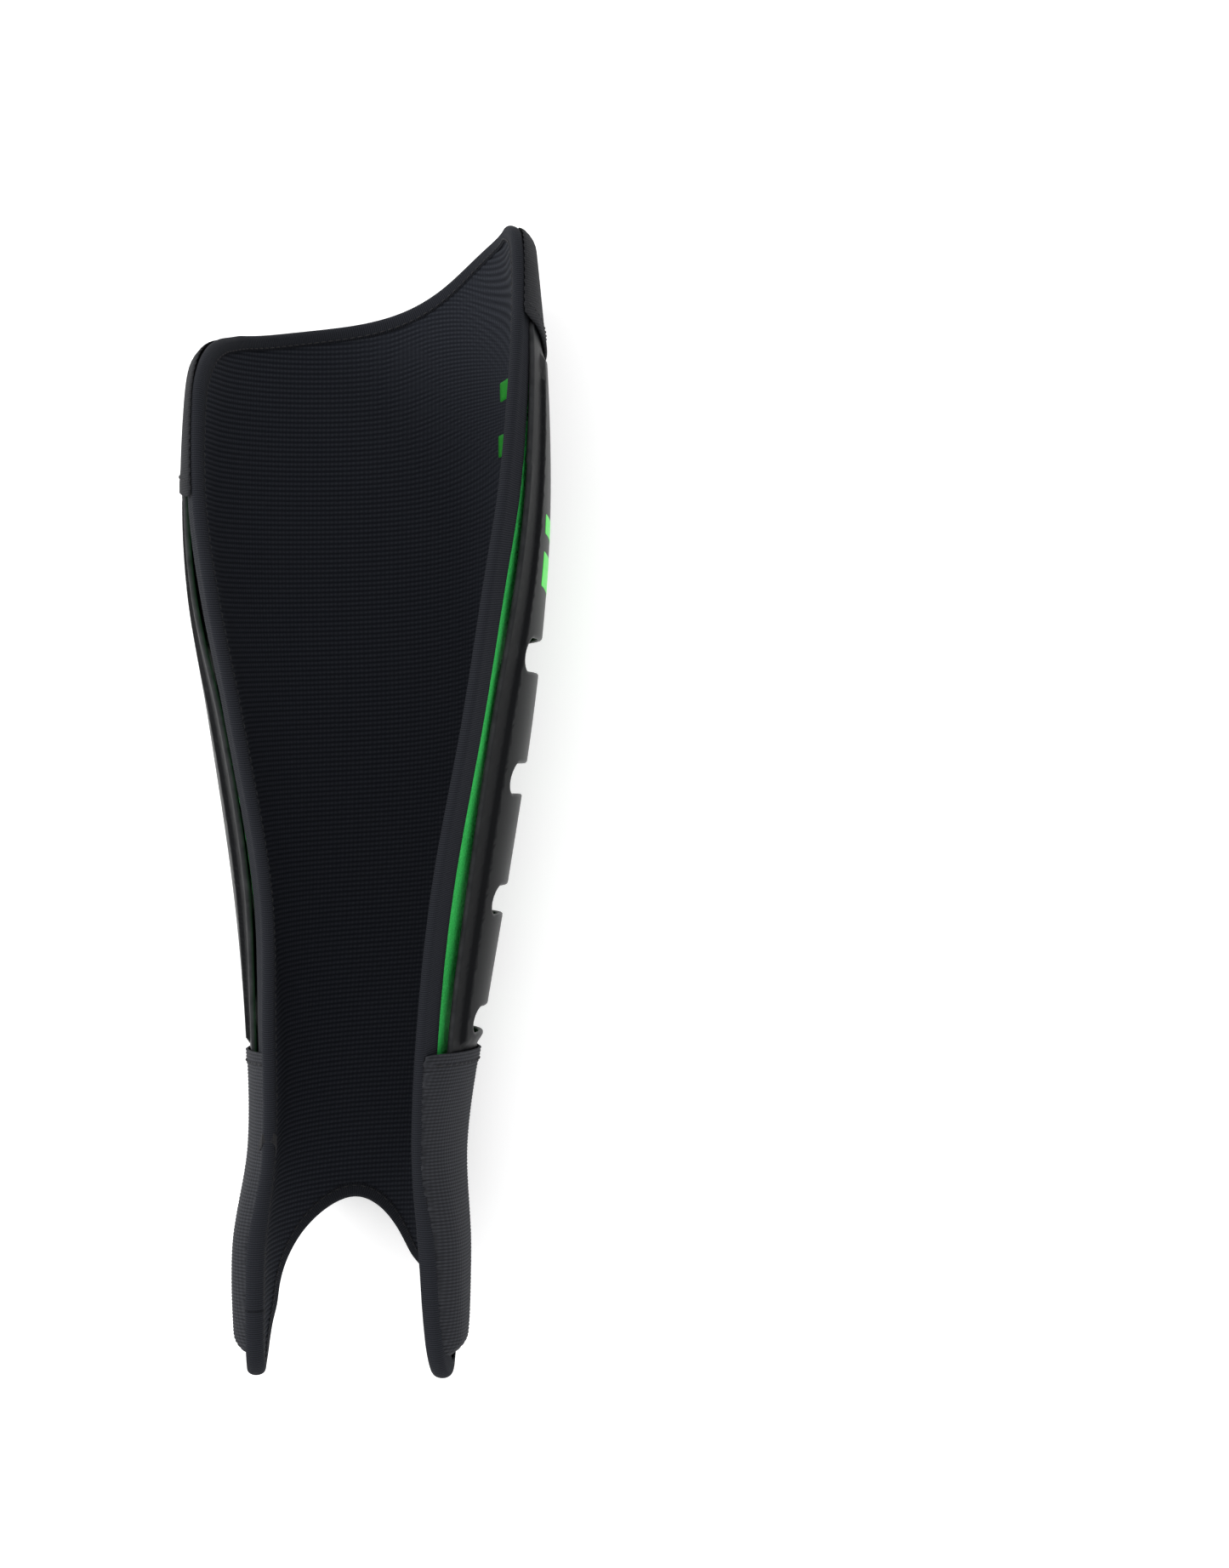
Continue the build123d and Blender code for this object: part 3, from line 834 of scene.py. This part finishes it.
def make_lining_marks():
    """Two plain slanted bars of ink on the lining, in place of the maker's print."""
    for k, (high, low, reach) in enumerate(LINING_MARKS):
        half = float(section(low, 1).half)
        near, far = half - LINING_MARK_NEAR, half - reach
        corners = [
            (near, low),
            (near, high),
            (far, high - LINING_MARK_SLANT),
            (far, low - LINING_MARK_SLANT),
        ]
        loop = anticlockwise(softened(evened(np.array(corners), 0.5), 0.5))
        net = flat_net(loop, [], 1.5, 1.0, (0.1,))
        mark = slab(f"lining_mark_{k + 1}", PAD, net, -PAD_HALF - 0.2, -PAD_HALF - 0.5, 0.1)
        settle(mark, "print_green", look="print_dark")


make_foam()
make_lining()
make_lining_marks()

# ---- edge binding ----

TAPE_IN = 4.4  # the tape reaches this far over the pad from its edge
TAPE_OUT = 1.3
TAPE_THICK = 0.6
FOLD_MIDDLE = -1.3  # the fold sits on the leg side, where the foam is squeezed
FOLD_HALF = 2.25
LEG_REACH = 5.6  # the outer half of the tape slopes up over the foam
LEG_RISE = 0.46
ANKLE_FOLD = (-0.25, 3.3, 0.1)  # middle, half and rise of the fuller fold round the ankle legs
ANKLE_FOLD_Y = (-125.0, -160.0)  # where it starts and where it is full
THREAD = 0.24
STITCH_IN = 3.5  # the row of stitches, in from the pad's edge
STITCH_GAP = 0.14  # between stitches, as a share of their pitch
TACK_PASSES = 9
TACK_HALF = 1.6
TACK_PITCH = 0.42


def tape_frames(loop):
    """Along the pad's edge: place, way out of the surface, way in over the pad."""
    s, y = loop.T
    place = PAD.place(s, y, 0 * s)
    out = PAD.place(s, y, 0 * s + 1) - place
    within = inset(loop, 0.5)
    into = PAD.place(*within.T, 0 * s) - place
    into -= (into * out).sum(1)[:, None] * out
    into /= np.linalg.norm(into, axis=1)[:, None]
    return place, out, into


def tape_profile(shift=0.0, middle=FOLD_MIDDLE, fold=FOLD_HALF, rise=LEG_RISE):
    """The folded tape's section, as (in over the pad, out of the surface)."""
    half = fold - shift
    nose = TAPE_OUT - shift
    points = [(TAPE_IN, middle - half + 0.3), (3.0, middle - half)]
    points += [
        (0.9 - (nose + 0.9) * sin(t), middle - half * cos(t))
        for t in np.linspace(0.15, pi - 0.3, 11)
    ]
    points += [(a, middle + half + rise * (a - 1.2)) for a in (1.6, 3.4, LEG_REACH)]
    return points


def make_binding():
    """The tape folded over the whole edge, fuller round the ankle legs."""
    loop = evened(OUTLINE, 1.0)
    place, out, into = tape_frames(loop)
    outer = tape_profile()
    profile = np.array(outer + tape_profile(TAPE_THICK)[::-1])
    fuller = np.array(tape_profile(0.0, *ANKLE_FOLD) + tape_profile(TAPE_THICK, *ANKLE_FOLD)[::-1])
    share = 1 - step_up(loop[:, 1], ANKLE_FOLD_Y[1], ANKLE_FOLD_Y[0])
    count, size = len(loop), len(profile)
    travel = np.arange(count) * np.linalg.norm(loop[1] - loop[0])
    sag = 0.14 * np.sin(travel * 0.35) + 0.1 * np.sin(travel * 0.83 + 1)
    rings = []
    for (a, thin), (_, full) in zip(profile, fuller):
        b = (thin + share * (full - thin)) * (1 + 0.03 * sag)
        rings.append(place + a * into + b[:, None] * out)
    places = np.stack(rings, 1).reshape(-1, 3)
    around = np.concatenate([[0], np.cumsum(np.linalg.norm(np.diff(profile, axis=0), axis=1))])
    flat = np.zeros((count, size, 3))
    flat[..., 0] = travel[:, None]
    flat[..., 1] = around[None]
    index = np.arange(count * size).reshape(count, size)
    ahead = np.roll(index, -1, 0)
    corners = [index, ahead, np.roll(ahead, -1, 1), np.roll(index, -1, 1)]
    faces = np.stack(corners, -1).reshape(-1, 4)
    binding = make_object("edge_binding_tape", places, faces, {"flat": flat.reshape(-1, 3) * MM})
    settle(binding, "binding_tape", "edge_binding")
    return place, out, into


def capsule_run(name, starts, ends, normals, radius):
    """A row of stitches: each a short rounded thread, a little sunk at both ends."""
    sides, rings = 6, 5
    places, faces = [], []
    for start, end, normal in zip(starts, ends, normals):
        way = end - start
        across = np.cross(way, normal)
        across /= np.linalg.norm(across)
        base = len(places)
        for r in range(rings):
            share = r / (rings - 1)
            arch = sin(pi * share)
            centre = start + way * share + normal * radius * (1.1 * arch - 0.5)
            thick = radius * (0.55 + 0.45 * arch)
            for q in range(sides):
                turn = 2 * pi * q / sides
                places.append(centre + thick * (cos(turn) * across + sin(turn) * normal))
        for r in range(rings - 1):
            for q in range(sides):
                a, b = base + r * sides + q, base + r * sides + (q + 1) % sides
                faces.append((a, b, b + sides, a + sides))
        faces.append(tuple(base + q for q in range(sides))[::-1])
        faces.append(tuple(base + (rings - 1) * sides + q for q in range(sides)))
    return make_object(name, places, faces)


def make_stitches(frames):
    """The lockstitch that holds the tape, where it shows on the leg side."""
    place, out, into = frames
    step = 3
    row = place + STITCH_IN * into + (FOLD_MIDDLE - FOLD_HALF + 0.02) * out
    start = row[::step]
    end = np.roll(row, -step, 0)[::step]
    gap = STITCH_GAP * (end - start)
    stitches = capsule_run("tape_stitches", start + gap, end - gap, -out[::step], THREAD)
    settle(stitches, "thread")


def make_tack():
    """A bar tack: thread laid back and forth over the join of the tape's ends."""
    half = section(TAPE_JOIN, -1).half
    zigzag = []
    for k in range(TACK_PASSES):
        y = TAPE_JOIN - TACK_HALF + k * TACK_PITCH
        loop = np.array([(-half, y), (-half, y - 0.5)])
        place, out, into = tape_frames(np.vstack([loop, loop + (0.5, 0.5)]))
        zigzag.append((place[0], out[0], into[0]))
    starts, ends, normals = [], [], []
    profile = np.array(tape_profile(-0.12))
    for place, out, into in zigzag:
        ring = [place + a * into + b * out for a, b in profile]
        for p, q in zip(ring[:-1], ring[1:]):
            starts.append(p)
            ends.append(q)
            away = (p + q) / 2 - place - 1.5 * into
            normals.append(away / np.linalg.norm(away))
    tack = capsule_run("tape_bar_tack", starts, ends, normals, THREAD)
    settle(tack, "thread", "binding_tack")


tape = make_binding()
make_stitches(tape)
make_tack()

# ---- fabric pockets ----

TUCK = 8.0  # a pocket bends in to the binding over this far from the pad's edge
CAP_GAP = 0.1  # how far off the foam's edge each pocket starts
SLEEVE_GAP = -0.9
POCKET_OVER = 0.9  # a pocket starts this far over the edge, near the top of the tape
POCKET_RISE = 1.0  # a pocket's circle ends this far over the pad's rear edge
SLEEVE_END = -197.0
HEM_FOLD = 0.3  # a turned hem is this much thicker
SEAM_IN = 1.2  # the hem's seam, in from its fold line
SEAM_DIP = 0.25
HEM_STITCH = 2.6
HEM_THREAD = 0.26

Knit = namedtuple("Knit", "spacing stretch pitch relief hem_width")
CAP_KNIT = Knit(2.0, 1.0, 0.9, 0.0, 7.0)
SLEEVE_KNIT = Knit(0.33, 6.0, 1.25, 0.3, 5.5)


class PocketWrap:
    """From the outside of the guard in to the fold of the edge binding."""

    def __init__(self, edge, gap):
        self.edge = edge
        self.gap = gap
        self.away = edge - inset(edge, 1.0)

    def place(self, s, y, out):
        cut = section(y, s)
        index, depth = nearest(np.column_stack([s, y]), [self.edge])
        over = POCKET_OVER * (1 - step_up(depth, 0, SQUEEZE_REACH / 2))
        lift = np.sqrt(1 - (1 - np.clip(depth / TUCK, 0, 1)) ** 2)
        squeezed = EDGE_SQUEEZE * (1 - step_up(depth, 0, SQUEEZE_REACH))
        over_s, over_y = (over[:, None] * self.away[index]).T
        low = PAD.place(s + over_s, y + over_y, PAD_HALF - squeezed + self.gap + out)
        top = (cut.edge_z + POCKET_RISE - cut.height) / cut.radius
        angle = s / cut.half * (pi / 2 + np.arcsin(np.clip(top, -1, 1)))
        x = cut.middle + (cut.radius - FABRIC / 2 + out) * np.sin(angle)
        z = cut.height - (cut.radius - FABRIC / 2 + out) * np.cos(angle)
        high = np.stack([x, y - MIDDLE_Y + 0 * x, z], -1)
        return low + (high - low) * lift[:, None]


def pocket_outline(edge, hem):
    """The part of an outline past a hem line given as points (s, y)."""
    hem = np.array(hem)
    upward = hem[:, 1].mean() > 0
    line = np.interp(edge[:, 0], hem[:, 0], hem[:, 1])
    past = (edge[:, 1] > line) if upward else (edge[:, 1] < line)
    start = np.argmax(past & ~np.roll(past, 1))
    run = np.roll(edge, -start, axis=0)[: past.sum()]
    to_start, to_end = (np.linalg.norm(run[-1] - hem[k]) for k in (0, -1))
    closing = hem[::-1] if to_end < to_start else hem
    within = (np.abs(closing - run[-1]).sum(1) > 3) & (np.abs(closing - run[0]).sum(1) > 3)
    loop = np.vstack([run, closing[within]])
    return anticlockwise(softened(evened(loop, 1.5), 0.8))


def clipped_edge():
    """The pad's outline with its leg ends cut short and rounded, for the sleeve."""
    edge = np.column_stack([OUTLINE[:, 0], np.maximum(OUTLINE[:, 1], SLEEVE_END)])
    return softened(evened(edge, 1.0), 3.0)


def hem_line(shares):
    """A hem through (share of the way round, y), the share from -1 to 1."""
    curve = spline([(share * 100, y) for share, y in shares])
    half = section(curve[:, 1], curve[:, 0]).half
    return np.stack([curve[:, 0] / 100 * half, curve[:, 1]], -1)


CAP_HEM = [
    (-1.0, 106), (-0.83, 110.8), (-0.4, 122), (0.0, 139), (0.4, 152), (0.83, 162.6), (1.0, 170.5),
]
SLEEVE_HEM = [(-1.0, -87), (0.0, -87), (1.0, -87)]


def make_pocket(name, slot, node, wrap, hem, knit):
    """A pocket past its hem line, ribbed as its knit says, with a turned hem and its seam."""
    outline = pocket_outline(wrap.edge, hem)
    net = flat_net(outline, [], knit.spacing, knit.stretch, (0.5,))
    flat = net[0]
    y = flat[:, 1]
    from_hem = distances(flat, [hem])
    folded = 1 - step_up(from_hem, knit.hem_width - 0.5, knit.hem_width + 0.5)
    seam = np.exp(-(((from_hem - knit.hem_width + SEAM_IN) / 0.5) ** 2))
    crest = 0.5 + 0.5 * np.cos(2 * pi * y / knit.pitch)
    outer = FABRIC / 2 - knit.relief * (1 - crest) + HEM_FOLD * folded - SEAM_DIP * seam
    pocket = slab(name, wrap, net, outer, -FABRIC / 2, 0.5, {"crest": crest})
    floor_trim(pocket, 0.2)
    settle(pocket, slot, node)


def hem_stitches(name, wrap, hem, inwards):
    """A row of stitches beside a pocket's hem."""
    rows = evened_line(hem + (0, inwards), HEM_STITCH)
    place = wrap.place(*rows.T, np.full(len(rows), FABRIC / 2 + 0.22))
    base = wrap.place(*rows.T, np.zeros(len(rows)))
    normal = place - base
    normal /= np.linalg.norm(normal, axis=1)[:, None]
    gap = STITCH_GAP * (place[1:] - place[:-1])
    stitches = capsule_run(name, place[:-1] + gap, place[1:] - gap, normal[:-1], HEM_THREAD)
    floor_trim(stitches, 0.1)
    settle(stitches, "thread")


def evened_line(line, step):
    """Points evenly spaced along an open line, short of its ends."""
    length = np.concatenate([[0], np.cumsum(np.linalg.norm(np.diff(line, axis=0), axis=1))])
    stops = np.linspace(step, length[-1] - step, int(length[-1] / step))
    return np.stack([np.interp(stops, length, line[:, k]) for k in (0, 1)], -1)


CUP_CENTRE = (-166.0, 45.0)
CUP_HALF = (21.0, 12.5)  # along the leg and across it
CUP_THICK = 3.6
CUP_ROUNDING = 9.0
CUP_RINGS = (0.4, 1.2, 2.5, 4.5, 7.0)


def make_cup(name, side, node):
    """A domed foam cup over one ankle bone, against the inside of the sleeve."""
    middle = PAD.from_side([CUP_CENTRE], side)[0]
    turn = np.linspace(0, 2 * pi, 90, endpoint=False)
    loop = middle + np.stack([CUP_HALF[1] * np.cos(turn), CUP_HALF[0] * np.sin(turn)], -1)
    net = flat_net(evened(loop, 1.5), [], 2.0, 1.0, CUP_RINGS)
    outer = -FABRIC / 2 - 0.3
    cup = slab(name, SLEEVE_WRAP, net, outer, outer - CUP_THICK, CUP_ROUNDING)
    settle(cup, "foam_black", node)


CAP_WRAP = PocketWrap(OUTLINE, CAP_GAP)
SLEEVE_WRAP = PocketWrap(clipped_edge(), SLEEVE_GAP)
CAP_LINE = hem_line(CAP_HEM)
SLEEVE_LINE = hem_line(SLEEVE_HEM)
make_pocket("knee_cap_pocket", "cap_fabric", "top_cap", CAP_WRAP, CAP_LINE, CAP_KNIT)
make_pocket(
    "ankle_sleeve_elastic", "sleeve_fabric", "ankle_sleeve", SLEEVE_WRAP, SLEEVE_LINE, SLEEVE_KNIT
)
hem_stitches("cap_hem_stitches", CAP_WRAP, CAP_LINE, 5.8)
hem_stitches("sleeve_hem_stitches", SLEEVE_WRAP, SLEEVE_LINE, -4.3)
make_cup("outer_ankle_foam", -1, "outer_ankle_cup")
make_cup("peak_side_ankle_foam", 1, "peak_side_ankle_cup")

# ---- floor, light and camera ----

CAMERA_PLACE = (155.8, 7.8 - MIDDLE_Y, 991.1)
CAMERA_TILT = 4.2
FOCAL = 60.85
SENSOR = 36.0
FLOOR_GLOW = 0.42  # a lit table, which keeps the shadows faint


def make_floor():
    mesh = bpy.data.meshes.new("floor")
    size = 12.0
    corners = [(-size, -size, 0), (size, -size, 0), (size, size, 0), (-size, size, 0)]
    mesh.from_pydata(corners, [], [(0, 1, 2, 3)])
    floor = bpy.data.objects.new("floor", mesh)
    bpy.context.scene.collection.objects.link(floor)
    n = Nodes("floor_white")
    white = (0.93, 0.93, 0.93, 1)
    n.finish(white, 0.9, Specular_IOR_Level=0.1, Emission_Color=white, Emission_Strength=FLOOR_GLOW)
    mesh.materials.append(n.material)


def area_light(name, place, aim, size, power):
    light = bpy.data.lights.new(name, "AREA")
    light.shape = "DISK"
    light.size = size
    light.energy = power
    thing = bpy.data.objects.new(name, light)
    thing.location = place
    thing.rotation_euler = (Vector(aim) - Vector(place)).to_track_quat("-Z", "Y").to_euler()
    bpy.context.scene.collection.objects.link(thing)


def make_lights():
    world = bpy.data.worlds.new("studio")
    world.use_nodes = True
    world.node_tree.nodes["Background"].inputs["Color"].default_value = (1.0, 1.0, 1.0, 1)
    world.node_tree.nodes["Background"].inputs["Strength"].default_value = 1.0
    bpy.context.scene.world = world
    area_light("key", (-1.3, 0.35, 0.75), (0, 0, 0.04), 0.9, 13)
    area_light("fill", (0.9, -0.5, 1.4), (0, 0, 0.03), 1.2, 1)


def make_camera():
    data = bpy.data.cameras.new("camera")
    data.sensor_fit = "VERTICAL"
    data.sensor_height = SENSOR
    data.lens = FOCAL
    camera = bpy.data.objects.new("camera", data)
    camera.location = Vector(CAMERA_PLACE) * MM
    camera.rotation_euler = (0, radians(CAMERA_TILT), 0)
    bpy.context.scene.collection.objects.link(camera)
    bpy.context.scene.camera = camera


make_floor()
make_lights()
make_camera()
bpy.context.scene.view_settings.view_transform = "Standard"
